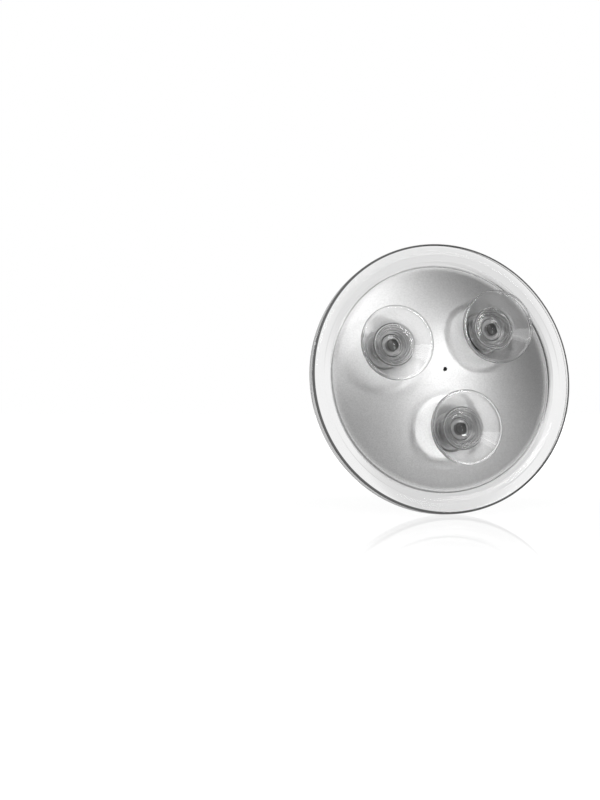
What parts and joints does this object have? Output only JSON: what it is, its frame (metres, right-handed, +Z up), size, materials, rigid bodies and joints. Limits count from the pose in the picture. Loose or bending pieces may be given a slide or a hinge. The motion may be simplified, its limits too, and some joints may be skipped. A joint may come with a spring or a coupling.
{
  "type": "suction cup magnifying mirror",
  "caption": "Round concave mirror in a clear ring frame, with a domed silver back that carries clear suction cups for a smooth wall.",
  "frame": {"origin": "on the plane of the suction cup lips, behind the centre of the round frame", "axes": "+Y out of the back, towards the wall; the mirror faces -Y; +Z up, with the single cup at the bottom"},
  "size_m": [0.152, 0.025, 0.152],
  "materials": {
    "clear_acrylic": "clear, polished",
    "mirror_silvering": "silvered glass",
    "silver_plastic": "satin silver paint with a fine fleck",
    "white_foam": "closed-cell foam",
    "clear_soft_plastic": "clear, soft, glossy"
  },
  "bodies": {
    "mirror": {"clear_frame": "clear_acrylic", "back_cover": "silver_plastic", "adhesive_ring": "white_foam", "mirror_glass": "mirror_silvering"},
    "upper_right_cup": {"suction_cup_upper_right": "clear_soft_plastic"},
    "upper_left_cup": {"suction_cup_upper_left": "clear_soft_plastic"},
    "lower_cup": {"suction_cup_lower": "clear_soft_plastic"}
  },
  "joints": [
    {"name": "upper_right_cup_swivel", "type": "hinge", "parent": "mirror", "child": "upper_right_cup", "pos_m": [0.02962, -0.0152, 0.0213], "axis": [0, 1, 0], "continuous": true},
    {"name": "upper_left_cup_swivel", "type": "hinge", "parent": "mirror", "child": "upper_left_cup", "pos_m": [-0.02962, -0.0152, 0.0213], "axis": [0, 1, 0], "continuous": true},
    {"name": "lower_cup_swivel", "type": "hinge", "parent": "mirror", "child": "lower_cup", "pos_m": [0, -0.0152, -0.03], "axis": [0, 1, 0], "continuous": true}
  ]
}
